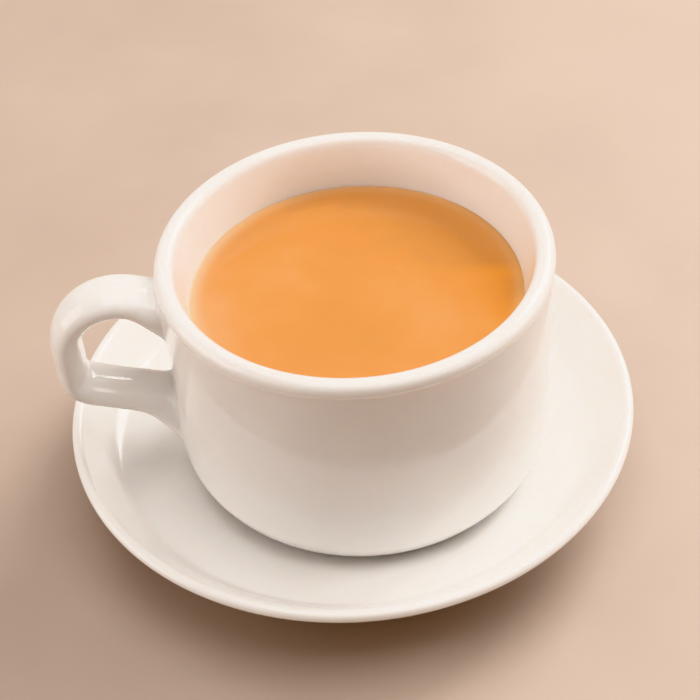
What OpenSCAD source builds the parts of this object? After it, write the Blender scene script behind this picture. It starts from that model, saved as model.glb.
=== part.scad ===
// Cup of milk tea: a white porcelain cup with one handle, on its saucer.
// z = 0 is the table, the origin is the middle of the saucer, and the handle points along -x.

/* [Cup] */
// Outer diameter of the cup across its lip
rim_d = 94; // [80:1:114]
// Height of the cup from its foot to the top of its lip
cup_h = 66.5; // [55:0.5:82]
// Thickness of the lip, which is fully rounded
lip_t = 4.8; // [3.6:0.1:6]
// How far the wall stands in from the lip
wall_set = 0.6; // [0:0.1:2]
// Rounding between the wall and the underside of the bowl
corner_r = 12; // [8:0.5:16]
// Slope of the bowl's underside towards the foot, in degrees
under_slope = 4; // [1:1:8]
// Angle at which the inside opens out at the lip, in degrees
flare_angle = 16; // [10:0.5:18]
// Radius of the inside where it opens out
flare_r = 85; // [60:1:100]
// Rounding between the inside wall and the floor
inner_corner_r = 12; // [8:0.5:20]
// Thickness of the floor
floor_t = 6.5; // [4:0.5:9]
// Outer diameter of the foot ring
foot_d = 58; // [46:1:70]
// Width of the foot ring
foot_t = 4; // [2.5:0.5:6]
// Height of the foot ring below the bowl
foot_h = 2.4; // [1.5:0.1:4]

/* [Handle] */
// How far the handle stands out from the wall
handle_reach = 27.6; // [23:0.1:36]
// Width of the handle from side to side
handle_w = 13.4; // [9:0.1:18]
// Thickness of the handle
handle_t = 7.6; // [5:0.1:10]
// Distance from the top of the lip down to the top of the handle
handle_drop = 2.8; // [2:0.1:6]
// Radius of the upper turn, along the middle of the handle
upper_turn_r = 12.9; // [10:0.1:16]
// Radius of the lower turn, along the middle of the handle
lower_turn_r = 6; // [5:0.1:9]
// Length of the straight stretch between the two turns
grip_l = 8.2; // [4:0.1:14]
// Slope of the upper arm, in degrees
upper_slope = 25; // [5:1:30]
// Height above the foot at which the lower arm meets the wall
low_join_h = 26; // [22:0.5:30]
// Distance from the wall over which an arm widens into its join
join_l = 9; // [6:0.5:14]
// How much an arm widens to each side at the wall
join_w = 1.8; // [0.5:0.1:3]
// How much the upper arm thickens above and below at the wall
upper_join = [0.6, 3]; // [0:0.1:4]
// How much the lower arm thickens below and above at the wall
lower_join = [5.8, 0.8]; // [0:0.1:8]

/* [Tea] */
// Distance from the top of the lip down to the tea
tea_drop = 13.1; // [6:0.1:24]

/* [Saucer] */
// Outer diameter of the saucer
saucer_d = 142; // [130:1:172]
// Height of the saucer
saucer_h = 22.5; // [19:0.5:26]
// Thickness of the saucer towards its edge, which is fully rounded
edge_t = 2.8; // [2.2:0.1:3.6]
// Thickness of the saucer's flat middle
base_t = 3.4; // [2.6:0.1:4]
// Height of the step around the flat middle
well_step = 0.8; // [0.4:0.1:1.2]
// Steepest slope of the saucer from its flat middle outwards, in degrees
plate_slope_max = 15; // [8:0.5:20]
// Least gap between that slope and the bowl above it
bowl_clear = 0.6; // [0.3:0.1:2]
// Slope of its upturned edge, in degrees
edge_slope = 48; // [44:1:56]
// Rounding between the two slopes, on the upper side
plate_turn_r = 9; // [4:0.5:12]
// Outer diameter of the saucer's foot ring
saucer_foot_d = 84; // [78:1:92]
// Width of the saucer's foot ring
saucer_foot_t = 4; // [2.5:0.5:6]
// Height of the saucer's foot ring
saucer_foot_h = 2.2; // [1.5:0.1:3]

/* [Place] */
// How far the cup stands off the saucer's middle, away from its handle
cup_x = 3.1; // [0:0.1:4]
// How far the cup stands off the saucer's middle, to the side
cup_y = -2.2; // [-3:0.1:3]

/* [Hidden] */
$fn = 96;

// Cup
rim_r = rim_d / 2;
lip_r = lip_t / 2;
lip_c = [rim_r - lip_r, cup_h - lip_r];
wall_r = rim_r - wall_set;
set_angle = 5;
foot_r = foot_d / 2;
flare_c = lip_c + (flare_r - lip_r) * [cos(flare_angle), -sin(flare_angle)];
bore_r = flare_c[0] - flare_r;
floor_z = foot_h + floor_t;
under_l = wall_r - corner_r * (1 - sin(under_slope)) - foot_r;
corner_c = [wall_r - corner_r, foot_h + under_l * tan(under_slope) + corner_r * cos(under_slope)];

// Slope from p of the line that passes under a circle, touching it
function slope_under(p, c, r) = atan2(c[1] - p[1], c[0] - p[0]) - asin(r / norm(c - p));

// Saucer, whose flat middle holds the foot wherever the cup stands
saucer_r = saucer_d / 2;
saucer_foot_r = saucer_foot_d / 2;
well_z = saucer_foot_h + base_t;
cup_off = norm([cup_x, cup_y]);
foot_play = 0.6;
step_w = 1.4;
well_r = foot_r + cup_off + foot_play;
plate_p = [well_r + step_w, well_z + well_step];
plate_slope = min(plate_slope_max,
    slope_under(plate_p, corner_c + [cup_off, well_z], corner_r + bowl_clear));

// Handle: the middle of its loop, as [distance from the cup's axis, height]
mid_t = handle_t / 2;
loop_r = wall_r + handle_reach - mid_t;
root_r = bore_r + (wall_r - bore_r) * 0.6;
upper_c = [loop_r - upper_turn_r, cup_h - handle_drop - mid_t - upper_turn_r];
lower_c = [loop_r - lower_turn_r, upper_c[1] - grip_l];
lower_slope = slope_under([wall_r, low_join_h], lower_c, lower_turn_r);

// Points of an arc in a plane
function arc(c, r, a0, a1, n) =
    [for (i = [0:n]) let (a = a0 + (a1 - a0) * i / n) c + r * [cos(a), sin(a)]];

// Where two lines meet, each given by a point and its slope in degrees
function meet(p, a, q, b) =
    let (x = (q[1] - p[1] + p[0] * tan(a) - q[0] * tan(b)) / (tan(a) - tan(b)))
    [x, p[1] + (x - p[0]) * tan(a)];

// A rounded bend between two slopes that meet at p, seen from outside the bend's arc
function bend(p, a, b, r) =
    let (c = p + r / cos((b - a) / 2) * [-sin((a + b) / 2), cos((a + b) / 2)])
    arc(c, r, a - 90, b - 90, 8);

// Upper or lower outline of the saucer's slopes, d below the upper side
function plate_line(d) =
    let (start = plate_p + d * [sin(plate_slope), -cos(plate_slope)],
         edge = [saucer_r, saucer_h] - edge_t / 2 * [1, 1]
            + (edge_t / 2 - d) * [-sin(edge_slope), cos(edge_slope)])
    concat(bend(meet(start, plate_slope, edge, edge_slope), plate_slope, edge_slope, plate_turn_r + d),
           [edge]);

// Height of the saucer's underside where the foot ring meets it
function underside_z(r) =
    plate_p[1] + (r - plate_p[0]) * tan(plate_slope) - edge_t / cos(plate_slope);

module saucer() {
    upper = plate_line(0);
    lower = plate_line(edge_t);
    edge_c = [saucer_r, saucer_h] - edge_t / 2 * [1, 1];
    ring_in = saucer_foot_r - saucer_foot_t;
    color("whitesmoke")
        rotate_extrude()
            polygon(concat(
                [[0, saucer_foot_h], [ring_in - 1, saucer_foot_h], [ring_in, 0.6], [ring_in + 0.6, 0],
                 [saucer_foot_r - 0.6, 0], [saucer_foot_r, 0.6], [saucer_foot_r, underside_z(saucer_foot_r)]],
                lower,
                arc(edge_c, edge_t / 2, edge_slope - 90, edge_slope + 90, 12),
                [for (i = [len(upper) - 1:-1:0]) upper[i]],
                [plate_p, [well_r, well_z], [0, well_z]]));
}

// Outline of the bowl's inside from the flare at the lip down to the middle of the floor
function inside() =
    concat(arc(flare_c, flare_r, 180 - flare_angle, 180, 6),
           arc([bore_r - inner_corner_r, floor_z + inner_corner_r], inner_corner_r, 0, -90, 10),
           [[0, floor_z]]);

// Outline of the bowl's outside from the middle of its underside up to the lip
function outside() =
    concat([[0, foot_h], [foot_r - foot_t - 1, foot_h], [foot_r - foot_t, 0.6], [foot_r - foot_t + 0.6, 0],
            [foot_r - 0.6, 0], [foot_r, 0.6], [foot_r, foot_h]],
           arc(corner_c, corner_r, under_slope - 90, 0, 12),
           [[wall_r, lip_c[1] - wall_set / tan(set_angle)]]);

// Share of its widening that an arm of the handle has, at a distance from the cup's axis
function widening(r) = r < wall_r + join_l ? pow(1 - max(r - wall_r, 0) / join_l, 2) : 0;

// Stations along the handle: [distance from the axis, height, direction, thickness out and in]
function station(p, a, join) =
    [p[0], p[1], a, mid_t + join[0] * widening(p[0]), mid_t + join[1] * widening(p[0])];
function turn(c, r, a0, a1, n, join) =
    [for (i = [0:n]) let (a = a0 + (a1 - a0) * i / n) station(c + r * [cos(a), sin(a)], a - 90, join)];
function arm(r0, r1, p, slope, heading, n, join) =
    [for (i = [0:n - 1]) let (r = r0 + (r1 - r0) * i / n)
        station([r, p[1] + (r - p[0]) * tan(slope)], heading, join)];

// One ring of the handle's oval section
function ring(s) =
    [for (j = [0:ring_n - 1])
        let (b = 360 * j / ring_n, d = cos(b) * (cos(b) > 0 ? s[3] : s[4]),
             w = handle_w / 2 + join_w * widening(s[0]))
        [-s[0] + d * sin(s[2]), w * sin(b), s[1] + d * cos(s[2])]];

ring_n = 28;

module handle() {
    upper_end = upper_c + upper_turn_r * [-sin(upper_slope), cos(upper_slope)];
    lower_end = lower_c + lower_turn_r * [sin(lower_slope), -cos(lower_slope)];
    low_arm = arm(root_r, lower_end[0], lower_end, lower_slope, lower_slope - 180, 7, lower_join);
    rings = [for (s = concat(
        arm(root_r, upper_end[0], upper_end, upper_slope, upper_slope, 5, upper_join),
        turn(upper_c, upper_turn_r, upper_slope + 90, 0, 11, upper_join),
        turn(lower_c, lower_turn_r, 0, lower_slope - 90, 7, lower_join),
        [for (i = [6:-1:0]) low_arm[i]])) ring(s)];
    last = (len(rings) - 1) * ring_n;
    polyhedron([for (r = rings) each r], concat(
        [[for (j = [0:ring_n - 1]) j], [for (j = [ring_n - 1:-1:0]) last + j]],
        [for (i = [0:len(rings) - 2], j = [0:ring_n - 1])
            let (a = i * ring_n + j, b = i * ring_n + (j + 1) % ring_n) each
            [[a, a + ring_n, b + ring_n], [a, b + ring_n, b]]]));
}

module cup() {
    color("white")
        translate([cup_x, cup_y, well_z]) {
            rotate_extrude()
                polygon(concat(outside(), arc(lip_c, lip_r, -set_angle, 180 - flare_angle, 14), inside()));
            handle();
        }
}

module tea() {
    color("sandybrown")
        translate([cup_x, cup_y, well_z])
            intersection() {
                rotate_extrude()
                    polygon(concat(inside(), [[0, lip_c[1]]]));
                cylinder(r = rim_r, h = cup_h - tea_drop);
            }
}

saucer();
cup();
tea();
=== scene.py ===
import math

import bmesh
import bpy
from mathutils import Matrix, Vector


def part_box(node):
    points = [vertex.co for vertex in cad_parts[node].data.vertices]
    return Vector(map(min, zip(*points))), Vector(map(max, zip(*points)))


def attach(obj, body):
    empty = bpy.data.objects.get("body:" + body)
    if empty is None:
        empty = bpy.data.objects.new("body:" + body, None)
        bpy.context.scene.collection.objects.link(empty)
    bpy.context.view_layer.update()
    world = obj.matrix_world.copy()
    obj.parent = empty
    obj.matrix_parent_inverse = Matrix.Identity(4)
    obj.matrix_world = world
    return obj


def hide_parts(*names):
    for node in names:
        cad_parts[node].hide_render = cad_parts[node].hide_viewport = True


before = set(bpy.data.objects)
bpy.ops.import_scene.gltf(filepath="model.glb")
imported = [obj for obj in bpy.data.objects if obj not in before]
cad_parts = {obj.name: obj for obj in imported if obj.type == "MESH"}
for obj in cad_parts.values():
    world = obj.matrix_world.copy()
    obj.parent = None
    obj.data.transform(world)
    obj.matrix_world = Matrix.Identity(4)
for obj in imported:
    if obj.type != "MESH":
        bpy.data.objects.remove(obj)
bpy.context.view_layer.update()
print("frame loaded:", sorted(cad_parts))

mm = 0.001
turnSteps = 32  # columns round a turned piece
ringCorners = 8  # corners of one ring of the handle
smoothLevels = 3
mergeGap = 0.02 * mm  # corners nearer than this become one
ringTurn = -1  # with no window, transform.rotate turns the other way

saucerLow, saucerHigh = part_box("saucer")
cupLow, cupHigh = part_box("cup")
teaLow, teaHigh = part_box("tea")

# The cup stands off the saucer's middle, and only its handle breaks its roundness
cupRadius = (cupHigh.y - cupLow.y) / 2
cupAxis = Vector((cupHigh.x - cupRadius, (cupHigh.y + cupLow.y) / 2, cupLow.z))
saucerAxis = Vector(((saucerHigh.x + saucerLow.x) / 2, (saucerHigh.y + saucerLow.y) / 2, saucerLow.z))


# Outlines: points of (distance from the axis, height) in millimetres


def arcPoints(centre, radius, degrees):
    return [(centre[0] + radius * math.cos(math.radians(a)),
             centre[1] + radius * math.sin(math.radians(a))) for a in degrees]


def along(a, b, share):
    return (a[0] + (b[0] - a[0]) * share, a[1] + (b[1] - a[1]) * share)


# From the recess under a piece, over its foot ring and up the outer flank
def footRing(sizes):
    foot, rise = sizes["footRadius"], sizes["footHeight"]
    inner = foot - sizes["footWidth"]
    flank, shoulder = sizes["footFlank"], sizes["footShoulder"]
    return [(r, rise) for r in sizes["recessRows"]] + [
        (inner - sizes["recessEdge"], rise - 0.1), (inner + sizes["flankSet"], flank),
        (inner + shoulder[0], shoulder[1]), ((inner + foot) / 2, 0), (foot - shoulder[0], shoulder[1]),
        (foot - 0.05, flank)]


# Corners of a cage whose smoothed line passes through the given points:
# smoothing moves a corner to a sixth of each neighbour and two thirds of itself
def cageThrough(points, rounds=60):
    wanted = [Vector(p) for p in points]
    cage = [p.copy() for p in wanted]
    for turn in range(rounds):
        for i in range(1, len(cage) - 1):
            cage[i] += wanted[i] - (cage[i - 1] + 4 * cage[i] + cage[i + 1]) / 6
    return cage


# How much wider a round cage is than the smooth ring it gives
def cageSwell(corners):
    return 3 / (2 + math.cos(2 * math.pi / corners))


# Selecting in edit mode


def selectFaces(test):
    bpy.ops.mesh.select_mode(type="FACE")
    bpy.ops.mesh.select_all(action="DESELECT")
    mesh = bmesh.from_edit_mesh(bpy.context.object.data)
    for face in mesh.faces:
        face.select_set(test(face.calc_center_median()))
    bmesh.update_edit_mesh(bpy.context.object.data)


# Selects the open edges whose middle is where it is wanted, and says how many there are
def selectOpenEdges(test):
    bpy.ops.mesh.select_mode(type="EDGE")
    bpy.ops.mesh.select_all(action="DESELECT")
    mesh = bmesh.from_edit_mesh(bpy.context.object.data)
    for edge in mesh.edges:
        if edge.is_boundary and test((edge.verts[0].co + edge.verts[1].co) / 2):
            edge.select_set(True)
    bmesh.update_edit_mesh(bpy.context.object.data)
    return sum(edge.select for edge in mesh.edges)


# Turning and finishing a piece


# Draws an outline and turns it round the axis. The piece is left in edit mode.
def turnPiece(name, axis, outline):
    swell = cageSwell(turnSteps)
    line = [(p[0] * swell * mm, p[1] * mm) for p in cageThrough(outline)]
    bpy.ops.object.select_all(action="DESELECT")
    bpy.ops.mesh.primitive_plane_add(size=mm)
    piece = bpy.context.object
    piece.name = name
    piece.data.name = name
    bpy.ops.object.mode_set(mode="EDIT")
    bpy.ops.mesh.select_mode(type="VERT")
    bpy.ops.mesh.merge(type="CENTER")
    bpy.ops.transform.translate(value=(axis.x + line[0][0], axis.y, axis.z + line[0][1]))
    for here, there in zip(line, line[1:]):
        bpy.ops.mesh.extrude_region_move(
            TRANSFORM_OT_translate={"value": (there[0] - here[0], 0, there[1] - here[1])})
    bpy.ops.mesh.select_all(action="SELECT")
    bpy.ops.mesh.spin(steps=turnSteps, angle=2 * math.pi, center=axis, axis=(0, 0, 1))
    bpy.ops.mesh.select_all(action="SELECT")
    bpy.ops.mesh.remove_doubles(threshold=mergeGap)
    bpy.ops.mesh.normals_make_consistent(inside=False)
    return piece


# Smooths the piece, gives it its finish and puts it in the place of its node
def finishPiece(piece, material, node):
    bpy.ops.object.mode_set(mode="OBJECT")
    smooth = piece.modifiers.new("smooth", "SUBSURF")
    smooth.levels = smoothLevels
    smooth.render_levels = smoothLevels
    bpy.ops.object.modifier_apply(modifier=smooth.name)
    bpy.ops.object.shade_smooth()
    piece.data.materials.append(material)
    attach(piece, "root")
    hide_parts(node)
    print(piece.name, "has", len(piece.data.polygons), "faces")


# Building a finish out of nodes


def newMaterial(name):
    material = bpy.data.materials.new(name)
    material.use_nodes = True
    tree = material.node_tree
    return material, tree, tree.nodes["Principled BSDF"]


# Makes a node, sets its own settings or its sockets, and links what comes in by socket number
def addNode(tree, kind, incoming=None, **values):
    node = tree.nodes.new(kind)
    for key, value in values.items():
        if hasattr(node, key):
            setattr(node, key, value)
        else:
            node.inputs[key.replace("_", " ")].default_value = value
    for socket, source in (incoming or {}).items():
        tree.links.new(source, node.inputs[socket])
    return node


def addNoise(tree, place, **values):
    return addNode(tree, "ShaderNodeTexNoise", {"Vector": place}, **values).outputs["Fac"]


def addMath(tree, operation, first, second):
    node = addNode(tree, "ShaderNodeMath", {0: first}, operation=operation)
    if isinstance(second, (int, float)):
        node.inputs[1].default_value = second
    else:
        tree.links.new(second, node.inputs[1])
    return node.outputs["Value"]


def addMix(tree, share, first, second):
    node = addNode(tree, "ShaderNodeMixRGB")
    for socket, value in zip(("Fac", "Color1", "Color2"), (share, first, second)):
        if isinstance(value, bpy.types.NodeSocket):
            tree.links.new(value, node.inputs[socket])
        else:
            node.inputs[socket].default_value = value
    return node.outputs["Color"]


def addRamp(tree, fac, stops):
    ramp = addNode(tree, "ShaderNodeValToRGB", {"Fac": fac})
    while len(ramp.color_ramp.elements) < len(stops):
        ramp.color_ramp.elements.new(0.5)
    for element, (place, colour) in zip(ramp.color_ramp.elements, stops):
        element.position = place
        element.color = (*colour, 1)
    return ramp.outputs["Color"]


def mapRange(tree, value, fromLow, fromHigh, toLow, toHigh):
    node = addNode(tree, "ShaderNodeMapRange", {"Value": value}, interpolation_type="SMOOTHSTEP",
                   From_Min=fromLow, From_Max=fromHigh, To_Min=toLow, To_Max=toHigh)
    return node.outputs["Result"]


def addBump(tree, height, distance, under=None):
    incoming = {"Height": height}
    if under:
        incoming["Normal"] = under
    return addNode(tree, "ShaderNodeBump", incoming, Distance=distance, Strength=1).outputs["Normal"]


# How a finish bends light, and how far light spreads under its surface
def setBody(shader, look):
    shader.inputs["IOR"].default_value = look["bending"]
    shader.inputs["Subsurface Weight"].default_value = look["spread"]
    shader.inputs["Subsurface Radius"].default_value = look["spreadColour"]
    shader.inputs["Subsurface Scale"].default_value = look["spreadReach"]


glaze = {
    "colourDeep": (0.880, 0.860, 0.836),
    "colourPale": (0.915, 0.900, 0.880),
    "bareColour": (0.700, 0.655, 0.590),
    "roughLow": 0.10,
    "roughHigh": 0.16,
    "bareRough": 0.75,
    "cloudScale": 38,
    "waveScale": 55,
    "waveHeight": 0.015 * mm,
    "pitScale": 900,
    "pitHeight": 0.001 * mm,
    "footBand": 0.35 * mm,  # height of the unglazed band under a foot ring
    "bending": 1.65,
    "spread": 0.4,
    "spreadColour": (1.0, 0.8, 0.65),
    "spreadReach": 2.5 * mm,
}


# White porcelain under a clear glaze, bare where the foot ring stands
def glazedPorcelain(name, footHeight, look):
    material, tree, shader = newMaterial(name)
    place = addNode(tree, "ShaderNodeTexCoord").outputs["Object"]
    height = addNode(tree, "ShaderNodeSeparateXYZ", {0: place}).outputs["Z"]
    bare = mapRange(tree, height, footHeight, footHeight + look["footBand"], 1, 0)

    cloud = addNoise(tree, place, Scale=look["cloudScale"], Detail=3, Roughness=0.55)
    body = addRamp(tree, cloud, [(0.35, look["colourDeep"]), (0.65, look["colourPale"])])
    gloss = mapRange(tree, cloud, 0.3, 0.7, look["roughLow"], look["roughHigh"])
    colour = addMix(tree, bare, body, (*look["bareColour"], 1))
    rough = addMix(tree, bare, gloss, (look["bareRough"],) * 3 + (1,))
    tree.links.new(colour, shader.inputs["Base Color"])
    tree.links.new(rough, shader.inputs["Roughness"])

    fine = addBump(tree, addNoise(tree, place, Scale=look["pitScale"], Detail=2), look["pitHeight"])
    broad = addBump(tree, addNoise(tree, place, Scale=look["waveScale"], Detail=1), look["waveHeight"], fine)
    tree.links.new(broad, shader.inputs["Normal"])
    setBody(shader, look)
    return material


tea = {
    "colourDark": (0.562, 0.250, 0.078),
    "colourMid": (0.765, 0.312, 0.061),
    "colourLight": (0.885, 0.388, 0.088),
    "edgeColour": (0.840, 0.530, 0.290),
    "cloudScale": 20,
    "wispScale": 44,
    "wispShare": 0.35,
    "paintedLitSide": (-0.64, -0.77, 0),  # painted light: the tea is painted palest on this side, and painted shade deepens it on the far side
    # painted shade: how much deeper the tea is painted on the side away from the light
    "paintedShadeSpread": 0.13,
    "rough": 0.09,
    "roughSpread": 0.05,
    "rippleScale": 70,
    "rippleHeight": 0.05 * mm,
    "edgeWidth": 5.5,  # of the paler band at the wall, in millimetres
    "edgeFall": 2.4,  # how fast it fades inwards
    "edgeShadedShare": 0.3,  # share of the band that is left on the side away from the light, where painted shade deepens it
    "wallReach": 0.2,  # into the cup's wall
    "meniscus": 0.25,  # rise at the wall
    "bending": 1.34,
    "spread": 0.4,
    "spreadColour": (1.0, 0.5, 0.2),
    "spreadReach": 3 * mm,
}


# Milk tea: cloudy where the milk turns in it, with painted shade making it deeper on the side away from the
# light, paler where it thins at the wall
def milkTea(name, axis, edgeRadius, look):
    material, tree, shader = newMaterial(name)
    place = addNode(tree, "ShaderNodeTexCoord").outputs["Object"]
    centred = addNode(tree, "ShaderNodeMapping", {"Vector": place}, Location=(-axis.x, -axis.y, 0))
    centred = centred.outputs["Vector"]
    flat = addNode(tree, "ShaderNodeVectorMath", {0: centred}, operation="MULTIPLY")
    flat.inputs[1].default_value = (1, 1, 0)
    fromMiddle = addNode(tree, "ShaderNodeVectorMath", {0: flat.outputs["Vector"]}, operation="LENGTH")
    towardsPaintedLight = addNode(tree, "ShaderNodeVectorMath", {0: centred}, operation="DOT_PRODUCT")
    towardsPaintedLight.inputs[1].default_value = Vector(look["paintedLitSide"]) / edgeRadius
    paintedLightSide = towardsPaintedLight.outputs["Value"]

    swirl = addNoise(tree, centred, Scale=look["cloudScale"], Detail=3, Roughness=0.45, Distortion=0.6)
    wisps = addNoise(tree, centred, Scale=look["wispScale"], Detail=3, Roughness=0.5, Distortion=0.9)
    mixed = addMix(tree, look["wispShare"], swirl, wisps)
    # painted shade: the tea is darker on the side away from the light and paler on the lit side
    paintedShadeShift = mapRange(tree, paintedLightSide, -0.85, 0.35, -look["paintedShadeSpread"], look["paintedShadeSpread"] / 2)
    cloudy = addRamp(tree, addMath(tree, "ADD", mixed, paintedShadeShift),
                     [(0.34, look["colourDark"]), (0.5, look["colourMid"]), (0.66, look["colourLight"])])

    edgeStart = edgeRadius - look["edgeWidth"] * mm
    near = mapRange(tree, fromMiddle.outputs["Value"], edgeStart, edgeRadius, 0, 1)
    fall = addMath(tree, "POWER", near, look["edgeFall"])
    # painted shade: the pale band at the wall fades on the side away from the light
    edge = addMath(tree, "MULTIPLY", fall, mapRange(tree, paintedLightSide, -0.9, 0.6, look["edgeShadedShare"], 1))
    tree.links.new(addMix(tree, edge, cloudy, (*look["edgeColour"], 1)), shader.inputs["Base Color"])

    rough = mapRange(tree, mixed, 0.3, 0.7, look["rough"], look["rough"] + look["roughSpread"])
    ripple = addBump(tree, addNoise(tree, place, Scale=look["rippleScale"], Detail=2), look["rippleHeight"])
    tree.links.new(rough, shader.inputs["Roughness"])
    tree.links.new(ripple, shader.inputs["Normal"])
    setBody(shader, look)
    return material


# The saucer, in millimetres from its own axis and the table. Rows are where its outline has corners.

saucer = {
    "edgeThick": 2.8,
    "wellRadius": 33.4,
    "wellHeight": 5.6,
    "wellRows": (29, 20, 10, 0),
    "stepWidth": 1.4,
    "stepHeight": 0.8,
    "slope": 15,
    "edgeSlope": 48,
    "turnRadius": 9,
    "footRadius": 42,
    "footWidth": 4,
    "footHeight": 2.2,
    "footFlank": 1.0,  # height of the corners on the foot ring's sides
    "footShoulder": (0.8, 0.2),  # inset and height of its rounded corners
    "flankSet": 0.1,  # of its inner side, towards the outer one
    "recessEdge": 1,  # distance from the ring at which the recess turns down
    "recessRows": (0, 14, 27, 34.5),
}


# One side of the sloping plate and its upturned edge, so far below the upper side
def plateLine(sizes, rim, below):
    low, high = math.radians(sizes["slope"]), math.radians(sizes["edgeSlope"])
    start = (sizes["wellRadius"] + sizes["stepWidth"] + below * math.sin(low),
             sizes["wellHeight"] + sizes["stepHeight"] - below * math.cos(low))
    half = sizes["edgeThick"] / 2
    edge = (rim[0] - half - (half - below) * math.sin(high), rim[1] - half + (half - below) * math.cos(high))
    climb = edge[1] - start[1] + start[0] * math.tan(low) - edge[0] * math.tan(high)
    run = climb / (math.tan(low) - math.tan(high))
    meet = (run, start[1] + (run - start[0]) * math.tan(low))
    middle, radius = (low + high) / 2, sizes["turnRadius"] + below
    away = radius / math.cos((high - low) / 2)
    centre = (meet[0] - away * math.sin(middle), meet[1] + away * math.cos(middle))
    turn = (sizes["slope"], (sizes["slope"] + sizes["edgeSlope"]) / 2, sizes["edgeSlope"])
    return start, arcPoints(centre, radius, [a - 90 for a in turn]), edge


def makeSaucer(sizes):
    rim = ((saucerHigh.x - saucerLow.x) / 2 / mm, (saucerHigh.z - saucerLow.z) / mm)
    start, upper, edge = plateLine(sizes, rim, 0)
    underStart, under, underEdge = plateLine(sizes, rim, sizes["edgeThick"])
    half = sizes["edgeThick"] / 2
    foot, well, wellHeight = sizes["footRadius"], sizes["wellRadius"], sizes["wellHeight"]
    climb = math.tan(math.radians(sizes["slope"]))
    footTop = underStart[1] + (foot - underStart[0]) * climb
    footEdge = (foot + 2, footTop + 2 * climb)

    outline = footRing(sizes) + [(foot + 0.35, footTop + 0.1)]
    outline += [along(footEdge, under[0], share) for share in (0, 0.35, 0.75)] + under
    outline += [along(under[-1], underEdge, share) for share in (0.5, 0.85)]
    outline += arcPoints((rim[0] - half, rim[1] - half), half,
                         [sizes["edgeSlope"] - 90, -3, 43, 90, sizes["edgeSlope"] + 90])
    outline += [along(edge, upper[-1], share) for share in (0.15, 0.5)] + upper[::-1]
    outline += [along(upper[0], start, share) for share in (0.3, 0.65, 0.9, 1)]
    outline += [(well + 0.35, wellHeight + 0.18), (well - 1.2, wellHeight)]
    outline += [(r, wellHeight) for r in sizes["wellRows"]]
    piece = turnPiece("saucerGlazed", saucerAxis, outline)
    finishPiece(piece, glazedPorcelain("saucerGlaze", saucerAxis.z, glaze), "saucer")


# The cup, in millimetres from its own axis and its foot

cup = {
    "lipThick": 4.8,
    "lipSwell": 0.3,  # of the wall just under the lip
    "wallSet": 0.6,  # of the wall, in from the lip
    "wallRows": (37, 42.5),
    "cornerRadius": 12,
    "underSlope": 4,
    "flareAngle": 16,  # of the inside of the lip, from upright
    "flareRadius": 85,
    "boreRows": (34, 27),
    "insideCorner": 12,
    "floorThick": 6.5,
    "floorRows": (18, 9, 0),
    "footRadius": 29,
    "footWidth": 4,
    "footHeight": 2.4,
    "footFlank": 1.1,
    "footShoulder": (0.8, 0.2),
    "flankSet": -0.1,
    "recessEdge": 1.4,
    "recessRows": (0, 10, 19),
}
handle = {
    "reach": 70.2,  # of its middle line, from the cup's axis
    "wide": 13.4,
    "thick": 7.6,
    "upperTurn": 12.9,
    "upperHeight": 47.0,
    "upperSlope": 25,
    "upperSteps": 6,
    "lowerTurn": 6,
    "lowerSteps": 3,
    "grip": 8.2,
    "lowJoin": 26,
    "lowerRows": (62.8, 58.6, 54.6, 51.2),
    "joinLength": 9,
    "joinWide": 1.8,
    "upperJoin": (0.6, 3),  # how much it thickens at the join, outwards and inwards
    "lowerJoin": (5.8, 0.8),
    "upperPatch": (48.0, 55.0, 62.0),  # rows of the wall that the join takes up
    "lowerPatch": (14.8, 23.4, 32.1),
    "patchWide": 0.25,  # half its width, as a share of the wall's radius
    "patchDeep": 3,
    "joinInset": 1.4,  # band of wall left round each join, which keeps its fillet small
    "firstRing": 2.0,  # distance of the handle's first and last rings from the wall
}


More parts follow.
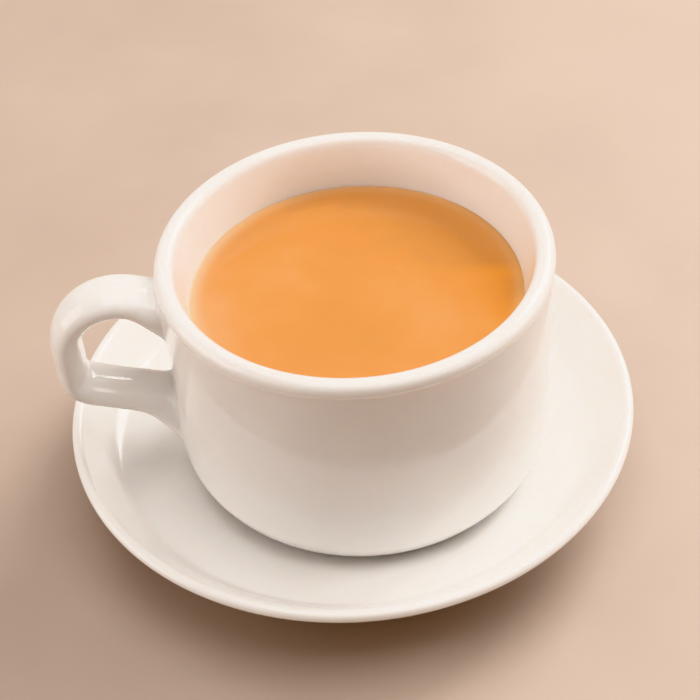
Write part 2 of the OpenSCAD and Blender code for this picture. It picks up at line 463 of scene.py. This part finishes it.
# Stations of the loop from the upper join to the lower: place, direction and how near the join
def loopStations(sizes, wallRadius):
    upperCentre = (sizes["reach"] - sizes["upperTurn"], sizes["upperHeight"])
    lowerCentre = (sizes["reach"] - sizes["lowerTurn"], sizes["upperHeight"] - sizes["grip"])
    reachOut, drop = lowerCentre[0] - wallRadius, lowerCentre[1] - sizes["lowJoin"]
    lowerSlope = math.degrees(math.atan2(drop, reachOut)
                              - math.asin(sizes["lowerTurn"] / math.hypot(reachOut, drop)))
    upperEnd = arcPoints(upperCentre, sizes["upperTurn"], [90 + sizes["upperSlope"]])[0]
    lowerEnd = arcPoints(lowerCentre, sizes["lowerTurn"], [lowerSlope - 90])[0]
    firstX = wallRadius + sizes["firstRing"]
    stations = []

    def addStation(x, z, heading, join):
        near = max(0, 1 - max(x - wallRadius, 0) / sizes["joinLength"]) ** 2
        out, inward = join[0] * near, join[1] * near
        lift, turn = (out - inward) / 2, math.radians(heading)
        stations.append({"x": x - lift * math.sin(turn), "z": z + lift * math.cos(turn), "heading": heading,
                         "thick": sizes["thick"] / 2 + (out + inward) / 2,
                         "wide": sizes["wide"] / 2 + sizes["joinWide"] * near})

    def addArm(rows, end, slope, heading, join):
        for x in rows:
            addStation(x, end[1] + (x - end[0]) * math.tan(math.radians(slope)), heading, join)

    def addTurn(centre, radius, degrees, join):
        for angle, (x, z) in zip(degrees, arcPoints(centre, radius, degrees)):
            addStation(x, z, angle - 90, join)

    upperSweep, lowerSweep = 90 + sizes["upperSlope"], 90 - lowerSlope
    upperSteps, lowerSteps = sizes["upperSteps"], sizes["lowerSteps"]
    addArm((wallRadius, firstX), upperEnd, sizes["upperSlope"], sizes["upperSlope"], sizes["upperJoin"])
    addTurn(upperCentre, sizes["upperTurn"],
            [upperSweep - i * upperSweep / upperSteps for i in range(upperSteps + 1)], sizes["upperJoin"])
    addStation(sizes["reach"], sizes["upperHeight"] - sizes["grip"] / 2, -90, sizes["lowerJoin"])
    addTurn(lowerCentre, sizes["lowerTurn"],
            [-i * lowerSweep / lowerSteps for i in range(lowerSteps + 1)], sizes["lowerJoin"])
    addArm((*sizes["lowerRows"], firstX, wallRadius), lowerEnd, lowerSlope, lowerSlope - 180,
           sizes["lowerJoin"])
    return stations


# Opens the wall where the handle joins it
def openWall(sizes, wallRadius, patch):
    def inPatch(place):
        return (place.x < cupAxis.x - (wallRadius - sizes["patchDeep"]) * mm
                and abs(place.y - cupAxis.y) < wallRadius * mm * sizes["patchWide"]
                and patch[0] * mm < place.z - cupAxis.z < patch[2] * mm)

    selectFaces(inPatch)
    bpy.ops.mesh.inset(thickness=sizes["joinInset"] * mm)
    bpy.ops.mesh.delete(type="FACE")


# Pulls a ring of the handle along its stations, and joins both ends to the wall
def makeHandle(sizes, wallRadius):
    stations = loopStations(sizes, wallRadius)
    line = cageThrough([(s["x"], s["z"]) for s in stations])[1:-1]
    stations = stations[1:-1]
    places = [Vector((cupAxis.x - p[0] * mm, cupAxis.y, cupAxis.z + p[1] * mm)) for p in line]
    first = stations[0]
    openWall(sizes, wallRadius, sizes["upperPatch"])
    openWall(sizes, wallRadius, sizes["lowerPatch"])

    bpy.ops.mesh.select_mode(type="VERT")
    bpy.ops.mesh.select_all(action="DESELECT")
    bpy.ops.mesh.primitive_circle_add(
        vertices=ringCorners, radius=first["thick"] * cageSwell(ringCorners) * mm,
        location=places[0], rotation=(0, math.radians(90 + first["heading"]), 0))
    bpy.ops.transform.resize(value=(1, first["wide"] / first["thick"], 1), center_override=places[0])
    for before, now, left, reached in zip(stations, stations[1:], places, places[1:]):
        bpy.ops.mesh.extrude_edges_move(TRANSFORM_OT_translate={"value": reached - left})
        bpy.ops.transform.rotate(value=math.radians(now["heading"] - before["heading"]) * ringTurn,
                                 orient_axis="Y", center_override=reached)
        thicker, wider = now["thick"] / before["thick"], now["wide"] / before["wide"]
        bpy.ops.transform.resize(value=(thicker, wider, thicker), center_override=reached)

    split = cupAxis.z + sizes["upperHeight"] * mm - sizes["grip"] / 2 * mm
    for upper in (True, False):
        count = selectOpenEdges(lambda place: (place.z > split) == upper)
        print("open edges at a join:", count)
        bpy.ops.mesh.bridge_edge_loops()
    bpy.ops.mesh.select_all(action="SELECT")
    bpy.ops.mesh.normals_make_consistent(inside=False)


# Gives back what the tea's outline follows: the flare's centre, the bore's radius and the floor's height
def makeCup(sizes, grip):
    height = (cupHigh.z - cupLow.z) / mm
    rimRadius = cupRadius / mm
    lip = sizes["lipThick"] / 2
    lipCentre = (rimRadius - lip, height - lip)
    wall = rimRadius - sizes["wallSet"]
    foot, rise = sizes["footRadius"], sizes["footHeight"]
    slope, corner = math.radians(sizes["underSlope"]), sizes["cornerRadius"]
    run = wall - corner * (1 - math.sin(slope)) - foot
    cornerCentre = (wall - corner, rise + run * math.tan(slope) + corner * math.cos(slope))
    flare, flareRadius = math.radians(sizes["flareAngle"]), sizes["flareRadius"]
    flareCentre = (lipCentre[0] + (flareRadius - lip) * math.cos(flare),
                   lipCentre[1] - (flareRadius - lip) * math.sin(flare))
    bore = flareCentre[0] - flareRadius
    floor = rise + sizes["floorThick"]
    inside = sizes["insideCorner"]
    upperPatch, lowerPatch = grip["upperPatch"], grip["lowerPatch"]

    outline = footRing(sizes)
    outline += [(foot + 0.35, rise - 0.1), (foot + 2.2, rise + 2.2 * math.tan(slope))]
    outline += arcPoints(cornerCentre, corner, [sizes["underSlope"] - 90, -62, -40, -18, 0])
    outline += [(wall, z) for z in (*lowerPatch[1:], *sizes["wallRows"], *upperPatch[:2])]
    outline += [(wall + sizes["lipSwell"], upperPatch[2])]
    outline += arcPoints(lipCentre, lip, [-5, 27, 58, 90, 127, 180 - sizes["flareAngle"]])
    outline += arcPoints(flareCentre, flareRadius, [165.4, 167.6, 171.4, 175.8, 180])
    outline += [(bore, z) for z in sizes["boreRows"]]
    outline += arcPoints((bore - inside, floor + inside), inside, [0, -22.5, -45, -67.5, -90])
    outline += [(r, floor) for r in sizes["floorRows"]]
    piece = turnPiece("cupGlazed", cupAxis, outline)
    makeHandle(grip, wall)
    finishPiece(piece, glazedPorcelain("cupGlaze", cupAxis.z, glaze), "cup")
    return flareCentre, bore, floor


# The tea fills the bowl, and reaches just into its wall
def makeTea(sizes, look, flareCentre, bore, floor):
    level = (teaHigh.z - cupAxis.z) / mm
    reach, rise = look["wallReach"], look["meniscus"]
    flareRadius, inside = sizes["flareRadius"], sizes["insideCorner"]
    lean = math.degrees(math.asin((level - flareCentre[1]) / flareRadius))
    edge = flareCentre[0] - flareRadius * math.cos(math.radians(lean))

    outline = [(r, floor - reach) for r in (0, 10, 20)]
    outline += arcPoints((bore - inside, floor + inside), inside + reach, [-90, -67.5, -45, -22.5, 0])
    outline += [(bore + reach, z) for z in sizes["boreRows"][::-1]]
    outline += arcPoints(flareCentre, flareRadius - reach, [180, 180 - lean * 0.5, 180 - lean * 0.85])
    outline += [(edge + reach, level - 0.35), (edge + reach - 0.02, level + rise),
                (edge - 0.25, level + rise * 0.55), (edge - 0.8, level + rise * 0.14)]
    outline += [(r, level) for r in (edge - 1.8, edge - 4, edge - 9, edge - 17, 12, 0)]
    piece = turnPiece("milkTeaBody", cupAxis, outline)
    finishPiece(piece, milkTea("milkTea", cupAxis, edge * mm, look), "tea")


makeSaucer(saucer)
print("saucer made")
bowl = makeCup(cup, handle)
print("cup made")
makeTea(cup, tea, *bowl)
print("tea made")


# Floor, light and camera

studio = {
    "floorWide": 6,
    "floorDeep": (0.41, 0.315, 0.255),
    "floorPale": (0.46, 0.360, 0.295),
    "floorRough": 0.6,
    "grainScale": 14,
    "world": (1.0, 0.78, 0.65),
    "worldStrength": 0.25,
    "lamps": {  # each with its place, size, power and colour
        "overhead": ((0.08, 0.0, 1.05), 0.95, 8.5, (1.0, 0.985, 0.965)),
        "backPanel": ((0.73, 0.64, 0.73), 0.6, 13.5, (1.0, 0.975, 0.945)),
        "rightPanel": ((0.85, 0.15, 0.45), 0.7, 4.5, (1.0, 0.96, 0.92)),
        "leftPanel": ((-0.95, 0.0, 0.42), 0.7, 5, (1.0, 0.94, 0.89)),
    },
    "lampAim": (0, 0, 0.04),
    "transform": "Khronos PBR Neutral",
}
view = {
    "place": (-0.01703, -0.29965, 0.31912),
    "turn": (46.745, 3.227, -6.408),
    "lens": 85.36,
    "sensor": 36,
    "nearest": 0.01,
}


def addLamp(name, aim, place, size, power, colour):
    light = bpy.data.lights.new(name, "AREA")
    light.shape = "SQUARE"
    light.size = size
    light.energy = power
    light.color = colour
    lamp = bpy.data.objects.new(name, light)
    bpy.context.scene.collection.objects.link(lamp)
    lamp.location = place
    lamp.rotation_euler = (Vector(aim) - Vector(place)).to_track_quat("-Z", "Y").to_euler()


def makeFloor(look):
    bpy.ops.object.select_all(action="DESELECT")
    bpy.ops.mesh.primitive_plane_add(size=look["floorWide"])
    ground = bpy.context.object
    ground.name = "studioFloor"
    material, tree, shader = newMaterial("paleFloor")
    place = addNode(tree, "ShaderNodeTexCoord").outputs["Object"]
    grain = addNoise(tree, place, Scale=look["grainScale"], Detail=5)
    shade = addRamp(tree, grain, [(0.3, look["floorDeep"]), (0.7, look["floorPale"])])
    tree.links.new(shade, shader.inputs["Base Color"])
    shader.inputs["Roughness"].default_value = look["floorRough"]
    ground.data.materials.append(material)


def makeStudio(look):
    makeFloor(look)
    world = bpy.data.worlds.new("softRoom")
    world.use_nodes = True
    background = world.node_tree.nodes["Background"]
    background.inputs["Color"].default_value = (*look["world"], 1)
    background.inputs["Strength"].default_value = look["worldStrength"]
    bpy.context.scene.world = world
    for name, values in look["lamps"].items():
        addLamp(name, look["lampAim"], *values)
    bpy.context.scene.view_settings.view_transform = look["transform"]


def makeCamera(sizes):
    camera = bpy.data.cameras.new("camera")
    camera.sensor_width = sizes["sensor"]
    camera.lens = sizes["lens"]
    camera.clip_start = sizes["nearest"]
    holder = bpy.data.objects.new("camera", camera)
    bpy.context.scene.collection.objects.link(holder)
    holder.location = sizes["place"]
    holder.rotation_euler = [math.radians(a) for a in sizes["turn"]]
    bpy.context.scene.camera = holder


makeStudio(studio)
makeCamera(view)
print("studio made")
